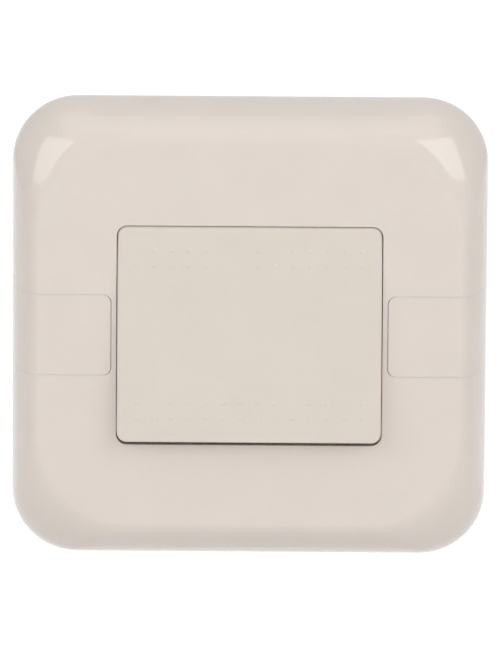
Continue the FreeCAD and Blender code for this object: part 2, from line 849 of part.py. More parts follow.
def fixed_contact_back():
    """The plane of the load bracket's front face, behind the fixed contact's head."""
    back, _, lean = contact_place()
    moving_face = back + (s.lever_thickness / 2 + s.contact_thickness) * cos_of(lean)
    rim_lead = s.contact_radius * sin_of(lean)
    return moving_face + rim_lead + s.contact_gap + s.contact_thickness


def make_contacts():
    back, level, lean = contact_place()
    moving = contact_button("moving_contact")
    half = s.lever_thickness / 2
    # The moving contact's face looks backwards, so the button is turned about X by half a turn.
    place(moving, 0, back + half * cos_of(lean), level + half * sin_of(lean), (1, 0, 0), 180 + lean)
    fixed = contact_button("fixed_contact")
    place(fixed, 0, fixed_contact_back(), level)


def make_common_bracket():
    body = new_body("common_bracket")
    half = s.ear_inside + s.bracket_sheet
    floor = s.chamber_depth
    sole = new_sketch(body, "sole", FRONT, -floor)
    rectangle(sole, -half, half, -s.bracket_tail, s.bracket_tail)
    pad(body, sole, s.bracket_sheet)
    tab_half = s.bracket_width / 2
    neck = new_sketch(body, "neck", FRONT, -floor)
    rectangle(neck, -tab_half, tab_half, -s.bracket_tail, s.pillar_start)
    pad(body, neck, s.bracket_sheet)
    tab = new_sketch(body, "tab", FRONT, -floor - s.tab_depth + s.bracket_sheet)
    rectangle(tab, -tab_half, tab_half, s.pillar_start - s.bracket_sheet, s.pillar_start)
    pad(body, tab, s.tab_depth)
    for side, word in ((-1, "left"), (1, "right")):
        ear = new_sketch(body, f"ear_{word}", FRONT, -floor + s.bracket_sheet / 2)
        edges = sorted_pair(side * s.ear_inside, side * half)
        rectangle(ear, *edges, -s.ear_height / 2, s.ear_height / 2)
        pad(body, ear, floor - s.bracket_sheet / 2 - s.lever_back + s.ear_lip)
    for way in ("notch", "mouth"):
        cutter = new_sketch(body, way, SIDE, half)
        radius = s.lever_pin_radius + s.notch_slack
        if way == "notch":
            circle(cutter, s.lever_back, 0, radius)
        else:
            rectangle(cutter, s.lever_back - 2 * s.ear_lip, s.lever_back, -radius, radius)
        pocket(body, cutter, 2 * half)


def make_load_bracket():
    body = new_body("load_bracket")
    front = fixed_contact_back()
    back = front + s.bracket_sheet
    _, level, _ = contact_place()
    top = level + s.bracket_overhang
    tab_end = s.chamber_depth + s.tab_depth - s.bracket_sheet
    inner = -s.pillar_start + s.bracket_sheet
    profile = new_sketch(body, "profile", SIDE, -s.bracket_width / 2)
    polygon(profile, [
        (front, top), (front, -s.pillar_start), (tab_end, -s.pillar_start),
        (tab_end, inner), (back, inner), (back, top),
    ])
    pad(body, profile, s.bracket_width)


def make_pillar(name, level):
    body = new_body(name)
    inner, outer = s.pillar_start, s.pillar_end
    block = new_sketch(body, "block", FRONT, -s.pillar_front - s.pillar_depth)
    rectangle(block, -s.pillar_width / 2, s.pillar_width / 2, *sorted_pair(level * inner, level * outer))
    pad(body, block, s.pillar_depth)
    wire = new_sketch(body, "wire", FRONT, -s.pillar_front)
    circle(wire, 0, level * s.wire_level, s.wire_radius)
    pocket(body, wire, s.pillar_depth)
    thread = new_sketch(body, "thread", TOP, level * outer)
    circle(thread, 0, s.pillar_front + s.pillar_depth / 2, s.terminal_shank + s.thread_fit)
    pocket(body, thread, outer - s.wire_level, onward=level < 0)


def driver_slot(body, role, top, radius):
    slot = new_sketch(body, "driver_slot", role, top)
    rectangle(slot, -s.driver_slot_width / 2, s.driver_slot_width / 2, -2 * radius, 2 * radius)
    pocket(body, slot, s.driver_slot_depth)


def make_terminal_screw(name, level):
    body = new_body(name)
    seat = s.pillar_end + s.thread_fit
    shank = new_sketch(body, "shank", TOP, s.terminal_shank_end)
    circle(shank, 0, 0, s.terminal_shank)
    pad(body, shank, seat - s.terminal_shank_end)
    head = new_sketch(body, "head", TOP, seat)
    circle(head, 0, 0, s.terminal_head_radius)
    pad(body, head, s.terminal_head)
    driver_slot(body, TOP, seat + s.terminal_head, s.terminal_head_radius)
    place(body, 0, s.pillar_front + s.pillar_depth / 2, 0, (0, 1, 0), 0 if level > 0 else 180)


# Base, strap and bezel

def drill_rivet_holes(body, front, depth):
    holes = new_sketch(body, "rivet_holes", FRONT, front)
    for side in (-1, 1):
        circle(holes, side * s.rivet_side, 0, s.rivet_radius + s.rivet_fit)
    pocket(body, holes, depth)


def make_mechanism_base():
    body = new_body("mechanism_base")
    half_width, half_height = s.base_side, s.base_end
    outline = new_sketch(body, "outline", FRONT, -s.base_depth)
    rounded_rectangle(outline, -half_width, half_width, -half_height, half_height, s.base_corner)
    block = pad(body, outline, s.base_depth)
    back_edges = edges_in_plane(block, "Y", s.base_depth)
    bevel_edges(body, block, back_edges, s.base_chamfer)

    chamber = new_sketch(body, "chamber", FRONT)
    rectangle(chamber, -s.chamber_width / 2, s.chamber_width / 2, -s.chamber_end, s.chamber_end)
    pocket(body, chamber, s.chamber_depth)
    terminal_half = s.pillar_width / 2 + s.pillar_fit
    inner, outer = s.cell_inner, s.cell_outer
    for level, word in ((-1, "lower"), (1, "upper")):
        cell = new_sketch(body, f"cell_{word}", FRONT)
        rectangle(cell, -terminal_half, terminal_half, *sorted_pair(level * inner, level * outer))
        pocket(body, cell, s.pillar_front + s.pillar_depth + s.pillar_fit)
        funnel = new_sketch(body, f"funnel_{word}", FRONT)
        circle(funnel, 0, level * s.wire_level, s.funnel_radius)
        pocket(body, funnel, s.base_depth)
        head_hole = new_sketch(body, f"head_hole_{word}", TOP, level * half_height)
        radius = s.terminal_head_radius + s.head_hole_slack
        circle(head_hole, 0, s.pillar_front + s.pillar_depth / 2, radius)
        pocket(body, head_hole, half_height - outer, onward=level < 0)
    drill_rivet_holes(body, 0, s.base_depth)

    _, contact_level, _ = contact_place()
    ledge_front = fixed_contact_back() + s.bracket_sheet
    ledge = new_sketch(body, "ledge", FRONT, -s.chamber_depth)
    ledge_half = s.bracket_width / 2
    ledge_base = -s.pillar_start + s.bracket_sheet + s.pillar_fit
    rectangle(ledge, -ledge_half, ledge_half, ledge_base, contact_level - s.contact_radius)
    pad(body, ledge, s.chamber_depth - ledge_front)


def make_support_strap():
    body = new_body("support_strap")
    outline = new_sketch(body, "outline", FRONT)
    wide, high = s.strap_side, s.strap_end
    rounded_rectangle(outline, -wide, wide, -high, high, s.strap_corner)
    pad(body, outline, s.strap_thickness)
    window = new_sketch(body, "window", FRONT, s.strap_thickness)
    rectangle(window, -s.window_side, s.window_side, -s.window_end, s.window_end)
    pocket(body, window, s.strap_thickness)
    slots = new_sketch(body, "fixing_slots", FRONT, s.strap_thickness)
    for level in (-1, 1):
        middle = level * s.fixing_spacing / 2
        upright_slot(slots, as_size(0.0), middle, s.fixing_slot_length / 2, s.fixing_slot_radius)
    pocket(body, slots, s.strap_thickness)

    leg_slots = new_sketch(body, "leg_slots", FRONT, s.strap_thickness)
    near = s.leg_side - s.leg_thickness / 2 - s.leg_slack
    far = s.leg_side + s.leg_thickness / 2 + s.leg_slack
    for side in (-1, 1):
        for level in (-1, 1):
            low = level * s.leg_level - s.leg_width / 2 - s.leg_slack
            high = level * s.leg_level + s.leg_width / 2 + s.leg_slack
            rectangle(leg_slots, *sorted_pair(side * near, side * far), low, high)
    pocket(body, leg_slots, s.strap_thickness)
    drill_rivet_holes(body, s.strap_thickness, s.strap_thickness)
    screw_holes = new_sketch(body, "screw_holes", FRONT, s.strap_thickness)
    for side in (-1, 1):
        circle(screw_holes, side * s.claw_screw_side, 0, s.claw_screw_radius + s.claw_screw_fit)
    pocket(body, screw_holes, s.strap_thickness)

    # Lugs bent back from the strap, with the claws' hinge holes
    lug_near = s.claw_width / 2 + s.lug_gap
    for side, word in ((-1, "left"), (1, "right")):
        for level, end in ((-1, "lower"), (1, "upper")):
            lug = new_sketch(body, f"lug_{word}_{end}", FRONT, -s.lug_reach)
            middle = side * s.claw_hinge_side
            levels = sorted_pair(level * lug_near, level * (lug_near + s.lug_sheet))
            rectangle(lug, middle - s.lug_width / 2, middle + s.lug_width / 2, *levels)
            pad(body, lug, s.lug_reach + s.strap_thickness / 2)
    hinge_holes = new_sketch(body, "hinge_holes", TOP, lug_near + s.lug_sheet)
    for side in (-1, 1):
        radius = s.claw_pin_radius + s.claw_pin_fit
        circle(hinge_holes, side * s.claw_hinge_side, s.claw_hinge_back, radius)
    pocket(body, hinge_holes, 2 * (lug_near + s.lug_sheet))


def make_front_bezel():
    body = new_body("front_bezel")
    seat = s.strap_thickness
    front = seat + s.bezel_thickness
    outline = new_sketch(body, "outline", FRONT, seat)
    half_width, half_height = s.bezel_side, s.bezel_end
    rounded_rectangle(outline, -half_width, half_width, -half_height, half_height, s.bezel_corner)
    pad(body, outline, s.bezel_thickness)
    for side, word in ((-1, "left"), (1, "right")):
        cheek = new_sketch(body, f"cheek_{word}", FRONT, front)
        edges = sorted_pair(side * s.cheek_inside, side * (s.cheek_inside + s.cheek_thickness))
        rectangle(cheek, *edges, -s.cheek_height / 2, s.cheek_height / 2)
        pad(body, cheek, s.pivot_forward + s.cheek_top - front)
    carrier_back, _ = carrier_levels()
    stop_end = s.stop_start + s.stop_height
    contact_height = carrier_back * cos_of(s.rocker_tilt) - stop_end * sin_of(s.rocker_tilt)
    stop_top = s.pivot_forward + contact_height - s.stop_gap
    for side, word in ((-1, "left"), (1, "right")):
        for level, end in ((-1, "lower"), (1, "upper")):
            stop = new_sketch(body, f"stop_{word}_{end}", FRONT, front)
            middle = side * s.stop_side
            levels = sorted_pair(level * s.stop_start, level * stop_end)
            rectangle(stop, middle - s.stop_width / 2, middle + s.stop_width / 2, *levels)
            pad(body, stop, stop_top - front)
    keeper_back = s.pillar_front - s.keeper_gap
    for level, word in ((-1, "lower"), (1, "upper")):
        keeper = new_sketch(body, f"keeper_{word}", FRONT, -keeper_back)
        middle = level * (s.pillar_start + s.pillar_height / 2)
        half_keeper = s.keeper_height / 2
        rectangle(keeper, -s.keeper_width / 2, s.keeper_width / 2, middle - half_keeper, middle + half_keeper)
        pad(body, keeper, keeper_back + seat + s.bezel_thickness / 2)
    throat = new_sketch(body, "throat", FRONT, front)
    rectangle(throat, -s.throat_side, s.throat_side, -s.throat_end, s.throat_end)
    pocket(body, throat, s.bezel_thickness)
    drill_rivet_holes(body, front, s.bezel_thickness)
    reach = s.cheek_inside + s.cheek_thickness
    for way in ("bearing", "mouth"):
        cutter = new_sketch(body, way, SIDE, reach)
        if way == "bearing":
            circle(cutter, -s.pivot_forward, 0, s.trunnion_radius + s.trunnion_fit)
        else:
            mouth_end = -s.pivot_forward - 2 * s.cheek_top
            rectangle(cutter, mouth_end, -s.pivot_forward, -s.snap_width / 2, s.snap_width / 2)
        pocket(body, cutter, 2 * reach)


def make_rivets():
    front = s.strap_thickness + s.bezel_thickness
    end = s.base_depth + s.rivet_head
    rivets = []
    for side, word in ((-1, "left"), (1, "right")):
        name, x = f"rivet_{word}", side * s.rivet_side
        head = cylinder(f"{name}_head", s.rivet_head_radius, s.rivet_head, x, -front, 0, angle=90)
        shank = cylinder(f"{name}_shank", s.rivet_radius, front + end, x, end, 0, angle=90)
        rivets.append(fuse(name, [head, shank]))
    group = doc.addObject("Part::Compound", "rivets")
    group.Links = rivets
    group.Label = "rivets"


# Claws, drawn about their hinge with the tab square to the screw, and turned back at rest

def make_claw(name, side):
    body = new_body(name)
    half = s.claw_width / 2
    outward = as_size(0.0 if side > 0 else 180.0)
    arm_angle = 90 - side * s.claw_tilt
    tooth_angle = arm_angle - side * s.claw_tooth_angle
    boss = new_sketch(body, "boss", TOP, -half)
    circle(boss, 0, 0, s.claw_boss)
    pad(body, boss, s.claw_width)
    tab = new_sketch(body, "tab", TOP, -half)
    nowhere = (as_size(0.0), as_size(0.0))
    bar(tab, nowhere, outward, s.claw_tab, s.claw_sheet)
    pad(body, tab, s.claw_width)
    arm = new_sketch(body, "arm", TOP, -half)
    bar(arm, nowhere, arm_angle, s.claw_arm, s.claw_sheet)
    pad(body, arm, s.claw_width)
    tooth = new_sketch(body, "tooth", TOP, -half)
    root = s.claw_arm - s.claw_sheet / 2
    bar(tooth, (root * cos_of(arm_angle), root * sin_of(arm_angle)), tooth_angle, s.claw_tooth, s.claw_sheet)
    pad(body, tooth, s.claw_width)
    # The screw passes the tab and then between the arm's two prongs.
    hole = new_sketch(body, "hole", FRONT, s.claw_sheet)
    circle(hole, side * (s.claw_screw_side - s.claw_hinge_side), 0, s.claw_hole_radius)
    pocket(body, hole, 2 * s.claw_sheet)
    slot = new_sketch(body, "slot", FRONT, -s.claw_slot_start)
    wide = s.claw_arm
    rectangle(slot, -wide, wide, -s.claw_slot_width / 2, s.claw_slot_width / 2)
    pocket(body, slot, s.claw_slot_end - s.claw_slot_start)
    reach = half + s.lug_gap + s.lug_sheet
    pin = new_sketch(body, "pin", TOP, -reach)
    circle(pin, 0, 0, s.claw_pin_radius)
    pad(body, pin, 2 * reach)
    place(body, side * s.claw_hinge_side, s.claw_hinge_back, 0, (0, 0, 1), side * s.claw_tilt)


def make_claw_screw(name, side):
    body = new_body(name)
    seat = s.strap_thickness + s.claw_screw_seat
    shank = new_sketch(body, "shank", FRONT, seat - s.claw_screw_length)
    circle(shank, 0, 0, s.claw_screw_radius)
    pad(body, shank, s.claw_screw_length)
    head = new_sketch(body, "head", FRONT, seat)
    circle(head, 0, 0, s.claw_screw_head_radius)
    pad(body, head, s.claw_screw_head)
    driver_slot(body, FRONT, seat + s.claw_screw_head, s.claw_screw_head_radius)
    place(body, side * s.claw_screw_side, 0, 0)


NODES = [
    "cover_frame", "insert_left", "insert_right", "rocker_cap", "rocker_carrier", "plunger",
    "contact_spring", "contact_lever", "moving_contact", "fixed_contact", "common_bracket",
    "load_bracket", "common_pillar", "load_pillar", "common_terminal_screw",
    "load_terminal_screw", "mechanism_base", "support_strap", "front_bezel", "rivets",
    "claw_left", "claw_right", "claw_screw_left", "claw_screw_right",
]


def make_everything():
    form = pillow("plate_form", as_size(0.0), OUTER_ROLL_STEPS)
    core = pillow("insert_core", s.insert_skin, INNER_ROLL_STEPS)
    make_cover_frame(form)
    make_insert("insert_left", -1, form, core)
    make_insert("insert_right", 1, form, core)
    make_rocker_cap()
    make_rocker_carrier()
    make_plunger()
    make_contact_spring()
    make_contact_lever()
    make_contacts()
    make_common_bracket()
    make_load_bracket()
    make_pillar("common_pillar", 1)
    make_pillar("load_pillar", -1)
    make_terminal_screw("common_terminal_screw", 1)
    make_terminal_screw("load_terminal_screw", -1)
    make_mechanism_base()
    make_support_strap()
    make_front_bezel()
    make_rivets()
    make_claw("claw_left", -1)
    make_claw("claw_right", 1)
    make_claw_screw("claw_screw_left", -1)
    make_claw_screw("claw_screw_right", 1)
    doc.recompute()


def check_document():
    for thing in doc.Objects:
        if "Invalid" in thing.State or "Error" in thing.State:
            raise RuntimeError(f"{thing.Name} is {thing.State}")


def write_parts():
    os.makedirs("parts", exist_ok=True)
    for node in NODES:
        shape = doc.getObjectsByLabel(node)[0].Shape
        if shape.isNull() or not shape.isValid():
            raise RuntimeError(f"{node} has no valid shape")
    for node in NODES:
        shape = doc.getObjectsByLabel(node)[0].Shape
        shape.exportStep(f"parts/{node}.step")
        box = shape.BoundBox
        print(
            f"{node}: {len(shape.Solids)} solid, {shape.Volume:.1f} mm3, "
            f"x {box.XMin:.2f} {box.XMax:.2f}, y {box.YMin:.2f} {box.YMax:.2f}, z {box.ZMin:.2f} {box.ZMax:.2f}"
        )


make_everything()
check_document()
write_parts()
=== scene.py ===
import json
import math

import bpy
from mathutils import Matrix, Vector
from mathutils.geometry import tessellate_polygon


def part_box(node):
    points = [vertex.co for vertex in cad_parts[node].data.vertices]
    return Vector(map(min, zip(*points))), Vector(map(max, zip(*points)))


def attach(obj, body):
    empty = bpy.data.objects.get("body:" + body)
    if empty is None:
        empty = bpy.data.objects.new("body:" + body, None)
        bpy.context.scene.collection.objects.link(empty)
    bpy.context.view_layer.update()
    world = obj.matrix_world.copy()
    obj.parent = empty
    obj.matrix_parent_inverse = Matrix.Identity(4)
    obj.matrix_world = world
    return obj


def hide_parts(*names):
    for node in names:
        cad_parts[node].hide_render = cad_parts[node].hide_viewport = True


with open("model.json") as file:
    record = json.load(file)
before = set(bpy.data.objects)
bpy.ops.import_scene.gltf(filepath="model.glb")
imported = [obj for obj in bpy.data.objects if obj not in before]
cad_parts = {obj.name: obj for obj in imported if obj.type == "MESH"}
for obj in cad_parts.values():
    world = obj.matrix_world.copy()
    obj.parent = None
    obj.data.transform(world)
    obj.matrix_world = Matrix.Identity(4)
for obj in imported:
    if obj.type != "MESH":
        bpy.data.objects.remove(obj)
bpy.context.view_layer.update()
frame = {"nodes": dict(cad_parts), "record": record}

NODES = frame["nodes"]
MM = 0.001
FRONT = Vector((0, -1, 0))
BACK = Vector((0, 1, 0))

# Sizes in millimetres. Distances called forward are measured from the wall plane y = 0
# towards the front. The plate's outer sizes come from the solids.
PLATE_LOW, PLATE_HIGH = (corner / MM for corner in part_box("cover_frame"))
HALF_WIDTH, HALF_HEIGHT = PLATE_HIGH.x, PLATE_HIGH.z
DEPTH = -PLATE_LOW.y
RIM_CORNER, FACE_CORNER = 11.5, 16.0
SIDE_ROLL, END_ROLL, FULLNESS = 4.9, 7.0, 1.7
COVER_WALL, COLLAR_WALL, COLLAR_DEPTH = 2.4, 1.0, 4.0

# The opening and the cap: half width, half height and corner radius
OPENING = (23.13, 19.36, 1.85)
OPENING_EDGE = 0.08
CAP = (22.98, 18.86, 1.7)

# Inserts, the beds that they lie in and the seams round them
INSERT_START, INSERT_HALF, INSERT_CORNER = 24.13, 7.1, 1.4
INSERT_SKIN, BED_SLACK = 1.2, 0.05
SIDE_SEAM, END_SEAM, SEAM_EDGE = 0.012, 0.11, 0.012

# Snap legs behind the plate, with their hooks
LEG_LEVEL, LEG_HALF_WIDTH = 11.0, 2.5
LEG_INSIDE, LEG_OUTSIDE, LEG_END = 24.3, 25.9, 1.6
HOOK_INSIDE, HOOK_OUTSIDE, HOOK_FRONT = 25.8, 26.5, 0.3

# Cap: its front edge as reach and drop, its ribs and the clips that hold the carrier
CAP_FACE, CAP_SKIRT, CAP_STAND, SKIRT_REACH = 1.8, 1.5, 5.5, 0.5
CAP_TOP_EDGE, CAP_SIDE_EDGE, CAP_LOW_EDGE = (1.2, 0.45), (0.7, 0.5), (0.3, 0.3)
RIB_SIDE, RIB_HALF_THICKNESS, RIB_HALF_LENGTH, RIB_DEPTH = 19.0, 0.45, 17.5, 1.4
CLIP_HALF_WIDTH, CLIP_INSIDE, CLIP_OUTSIDE = 4.0, 11.1, 12.3
LIP_INSIDE, LIP_FRONT, CLIP_END = 10.5, -1.1, -0.5
PIVOT_FORWARD, TILT = 7.0, 5.0
DOT_PITCH, DOT_RADIUS, DOT_HEIGHT, DOTS = 3.014, 0.42, 0.08, 14
DOT_ROWS = (-14.58, -11.97, 11.97, 14.58)

# Claw screws
SCREW_HEAD, SCREW_HEAD_RADIUS, SCREW_CHAMFER = 2.0, 2.75, 0.25
SCREW_SLOT_HALF, SCREW_SLOT_DEPTH = 0.4, 0.9
THREAD_CREST, THREAD_ROOT, THREAD_PITCH, THREAD_STEPS = 1.5, 1.18, 0.5, 20
TIP_LENGTH, TIP_TAPER, TIP_STEP = 0.5, 0.8, 0.06

# Numbers of steps in round forms
ROLL_STEPS, HOLLOW_STEPS = 28, 12
CORNER_STEPS, STRAIGHT_STEPS, LEVEL_STEPS = 24, 6, 8
CAP_EDGE_STEPS, OPENING_EDGE_STEPS = 8, 6
HEAD_STEPS, HALF_HEAD_STEPS, SLOT_END_STEPS = 40, 18, 3

# The photo's view: degrees, metres, pixels in each millimetre at the origin, and the
# origin's pixel
ELEVATION, DISTANCE, SCALE, MIDDLE, LEAN = 10.5, 1.5, 5.71, (249.5, 324.6), 0.4
PICTURE_WIDTH, PICTURE_HEIGHT, SENSOR = 500.0, 650.0, 36.0

# Floor in metres, and how brightly floor and world show
FLOOR_LEVEL, FLOOR_REACH = -0.10, 6.0
FLOOR_PAINT, FLOOR_GLOW, WORLD_FILL = 0.86, 0.54, 0.25

# Lamps: name, place, width, height, watts, and whether reflections show them
LAMPS = (
    ("softbox_left", (-0.98, -0.61, 0.59), 0.8, 0.7, 3.9, True),
    ("softbox_right", (0.90, -0.68, 0.65), 0.8, 0.7, 4.6, True),
    ("softbox_top", (0.0, -0.30, 1.60), 2.4, 1.4, 6.2, True),
    ("softbox_front", (0.0, -2.37, 0.42), 4.0, 2.6, 33.5, False),
    ("softbox_back", (0.0, 2.10, 1.25), 0.7, 2.0, 8.0, False),
)

# Looks by slot: name, two sRGB colours, range of roughness, fineness of the grain, strength
# and height in metres of the bump, metallic, and fineness of the colour's patches
LOOKS = {
    "plate_plastic": (
        "plate_gloss", (223, 213, 205), (221, 211, 202), (0.07, 0.11), 900,
        (0.03, 0.00002), 0.0, 120.0,
    ),
    "rocker_plastic": (
        "rocker_satin", (219, 210, 200), (217, 208, 198), (0.30, 0.40), 5200,
        (0.10, 0.00003), 0.0, 120.0,
    ),
    "base_plastic": (
        "base_moulding", (226, 226, 222), (219, 219, 214), (0.5, 0.62), 2600,
        (0.2, 0.00004), 0.0, 120.0,
    ),
    "inner_plastic": (
        "inner_moulding", (224, 224, 219), (217, 217, 211), (0.42, 0.55), 2600,
        (0.15, 0.00003), 0.0, 120.0,
    ),
    "plated_steel": (
        "zinc_plate", (205, 207, 212), (182, 186, 193), (0.26, 0.42), 1500,
        (0.25, 0.00003), 1.0, 240.0,
    ),
    "spring_steel": (
        "spring_wire", (176, 177, 180), (150, 151, 155), (0.3, 0.42), 3500,
        (0.3, 0.00003), 1.0, 120.0,
    ),
    "terminal_brass": (
        "terminal_brass", (219, 186, 116), (201, 164, 92), (0.26, 0.4), 2200,
        (0.25, 0.00003), 1.0, 300.0,
    ),
    "contact_copper": (
        "contact_copper", (214, 158, 122), (196, 138, 102), (0.28, 0.42), 2600,
        (0.25, 0.00003), 1.0, 120.0,
    ),
    "contact_silver": (
        "contact_silver", (226, 224, 218), (205, 203, 197), (0.2, 0.34), 3000,
        (0.2, 0.00002), 1.0, 120.0,
    ),
}

# Slots whose plastic light gets into: the share of the light, its reach in metres, and how
# far red, green and blue go within that reach
TRANSLUCENT = ("plate_plastic", "rocker_plastic")
SCATTERED, SCATTER_REACH, SCATTER_COLOURS = 0.2, 0.0012, (1.0, 0.75, 0.55)


class Skin:
    """Faces with a normal at each corner. Corners in one place share a vertex."""

    def __init__(self):
        self.points, self.numbers, self.faces, self.normals = [], {}, [], []

    def vertex(self, point):
        key = tuple(round(value, 4) for value in point)
        if key not in self.numbers:
            self.numbers[key] = len(self.points)
            self.points.append(Vector(point) * MM)
        return self.numbers[key]

    def face(self, points, normals):
        corners = []
        for point, normal in zip(points, normals):
            number = self.vertex(point)
            if number not in [other for other, _ in corners]:
                corners.append((number, Vector(normal).normalized()))
        if len(corners) < 3:
            return
        facing = Vector((0, 0, 0))
        ring = [self.points[number] for number, _ in corners]
        for first, second in zip(ring, ring[1:] + ring[:1]):
            facing += first.cross(second)
        if facing.dot(sum((normal for _, normal in corners), Vector((0, 0, 0)))) < 0:
            corners.reverse()
        self.faces.append([number for number, _ in corners])
        self.normals += [normal for _, normal in corners]

    def strip(self, first, second, closed=False):
        """Quads between two rows of (point, normal)."""
        count = len(first)
        for i in range(count if closed else count - 1):
            j = (i + 1) % count
            corners = [first[i], first[j], second[j], second[i]]
            self.face([point for point, _ in corners], [normal for _, normal in corners])

    def flat(self, loops, normal):
        points = [Vector(point) for loop in loops for point in loop]
        rings = [[Vector(point) for point in loop] for loop in loops]
        for triangle in tessellate_polygon(rings):
            self.face([points[number] for number in triangle], [normal] * 3)

    def block(self, low, high):
        corners = (Vector(low), Vector(high))
        for axis in range(3):
            one, two = (axis + 1) % 3, (axis + 2) % 3
            for side, sign in ((0, -1), (1, 1)):
                normal = Vector((0, 0, 0))
                normal[axis] = sign
                ring = []
                for a, b in ((0, 0), (1, 0), (1, 1), (0, 1)):
                    point = Vector((0, 0, 0))
                    point[axis] = corners[side][axis]
                    point[one], point[two] = corners[a][one], corners[b][two]
                    ring.append(point)
                self.face(ring, [normal] * 4)

    def build(self, name, turn=None):
        mesh = bpy.data.meshes.new(name)
        points, normals = self.points, self.normals
        if turn is not None:
            points = [turn @ point for point in points]
            normals = [turn.to_3x3() @ normal for normal in normals]
        mesh.from_pydata(points, [], self.faces)
        mesh.polygons.foreach_set("use_smooth", [True] * len(mesh.polygons))
        mesh.normals_split_custom_set(normals)
        mesh.update()
        piece = bpy.data.objects.new(name, mesh)
        bpy.context.scene.collection.objects.link(piece)
        return piece


# The plate's form

def section(angle, inset=0.0):
    """Half width, half height, corner radius and distance forward, at an angle up the roll."""
    power = 2 / FULLNESS
    rise = math.sin(math.radians(angle)) ** power if angle > 0 else 0.0
    drawn_in = 1 - (math.cos(math.radians(angle)) ** power if angle < 90 else 0.0)
    return (
        HALF_WIDTH - inset - SIDE_ROLL * drawn_in,
        HALF_HEIGHT - inset - END_ROLL * drawn_in,
        RIM_CORNER - inset + (FACE_CORNER - RIM_CORNER) * rise ** 2,
        (DEPTH - inset) * rise,
    )


def form_point(angle, tag, inset=0.0):
    """A point of the upper right quarter. Its tag says where round the rim it lies."""
    half_width, half_height, corner, forward = section(angle, inset)
    kind, value = tag
    if kind == "side":
        low = INSERT_HALF + SIDE_SEAM + SEAM_EDGE
        x, z = half_width, low + (half_height - corner - low) * value
    elif kind == "corner":
        turn = math.radians(value)
        x = half_width - corner + corner * math.cos(turn)
        z = half_height - corner + corner * math.sin(turn)
    elif kind == "level":
        x, z = half_width, value
    else:
        x, z = (half_width - corner) * value, half_height
    return Vector((x, -forward, z))


def form_normal(angle, tag, inset=0.0):
    kind, value = tag
    turn = {"side": 0.0, "level": 0.0, "end": 90.0}.get(kind, value)
    outward = Vector((math.cos(math.radians(turn)), 0, math.sin(math.radians(turn))))
    if angle >= 89.99:
        return FRONT.copy()
    if angle <= 0.01:
        return outward
    step = 0.02
    climb = form_point(angle + step, tag, inset) - form_point(angle - step, tag, inset)
    around = Vector((-outward.z, 0, outward.x))
    normal = climb.cross(around)
    return normal.normalized() if normal.dot(outward) > 0 else -normal.normalized()


def mirrored(pair, side, level):
    point, normal = pair
    way = Vector((side, 1, level))
    return (
        Vector((point.x * way.x, point.y, point.z * way.z)),
        Vector((normal.x * way.x, normal.y, normal.z * way.z)),
    )


def roll_angles(steps):
    """Closer together towards both ends, where the roll bends most."""
    return [90 * (0.5 - 0.5 * math.cos(math.pi * step / steps)) for step in range(steps + 1)]


def quarter_tags():
    side = [("side", step / STRAIGHT_STEPS) for step in range(STRAIGHT_STEPS)]
    corner = [("corner", 90 * step / CORNER_STEPS) for step in range(CORNER_STEPS + 1)]
    end = [("end", 1 - step / STRAIGHT_STEPS) for step in range(1, STRAIGHT_STEPS + 1)]
    return side + corner + end


def level_tags(limit):
    return [("level", limit * (2 * step / LEVEL_STEPS - 1)) for step in range(LEVEL_STEPS + 1)]


QUARTERS = ((1, 1), (-1, 1), (-1, -1), (1, -1))


def outline(half_width, half_height, corner, forward, steps=10):
    """A rounded rectangle as (point, outward normal), anticlockwise from the right side."""
    ring = []
    for number, (side, level) in enumerate(QUARTERS):
        for step in range(steps + 1):
            turn = math.radians(90 * number + 90 * step / steps)
            ring.append((
                Vector((
                    side * (half_width - corner) + corner * math.cos(turn), -forward,
                    level * (half_height - corner) + corner * math.sin(turn),
                )),
                Vector((math.cos(turn), 0, math.sin(turn))),
            ))
    return ring


def lip(skin, edge, outs, depth, steps=4, radius=SEAM_EDGE, closed=False):
    """Rolls a surface's edge over towards outs and down to a depth. edge is (point, normal)."""
    rows = []
    for step in range(steps + 1):
        turn = math.pi / 2 * step / steps
        rows.append([
            (
                point + out * radius * math.sin(turn) - normal * radius * (1 - math.cos(turn)),
                normal * math.cos(turn) + out * math.sin(turn),
            )
            for (point, normal), out in zip(edge, outs)
        ])
    for first, second in zip(rows, rows[1:]):
        skin.strip(first, second, closed)
    wall = [(point, out) for (point, _), out in zip(rows[-1], outs)]
    foot = [
        (point - normal * (depth - radius), out)
        for (point, _), (_, normal), out in zip(rows[-1], edge, outs)
    ]
    skin.strip(wall, foot, closed)
    return foot


def seam_path(side, half, start, corner, steps=6):
    """The insert's outline on the right or left, as (point, normal, way out of the insert).

    It runs from the rim up the lower seam, round the inner end and back down the upper seam.
    """
    tag = ("level", -half)
    lower = [
        (form_point(angle, tag), form_normal(angle, tag), Vector((0, 0, -1)))
        for angle in roll_angles(ROLL_STEPS)
    ]
    inner = []
    for number, middle in enumerate((-1, 1)):
        for step in range(steps + 1):
            turn = math.radians((270 if middle < 0 else 180) - 90 * step / steps)
            out = Vector((math.cos(turn), 0, math.sin(turn)))
            centre = Vector((start + corner, -DEPTH, middle * (half - corner)))
            inner.append((centre + out * corner, FRONT.copy(), out))
    upper = [
        (Vector((p.x, p.y, -p.z)), n.copy(), Vector((0, 0, 1))) for p, n, _ in reversed(lower)
    ]
    path = lower + inner + upper
    return [tuple(Vector((v.x * side, v.y, v.z)) for v in row) for row in path]


def skin_over(skin, tags, side, level, steps, inset=0.0):
    """The plate's form in one quarter. With an inset it is the inside, which faces the wall."""
    way = -1 if inset else 1
    rows = [
        [
            mirrored(
                (form_point(angle, tag, inset), way * form_normal(angle, tag, inset)),
                side, level,
            )
            for tag in tags
        ]
        for angle in roll_angles(steps)
    ]
    for first, second in zip(rows, rows[1:]):
        skin.strip(first, second)
    return rows


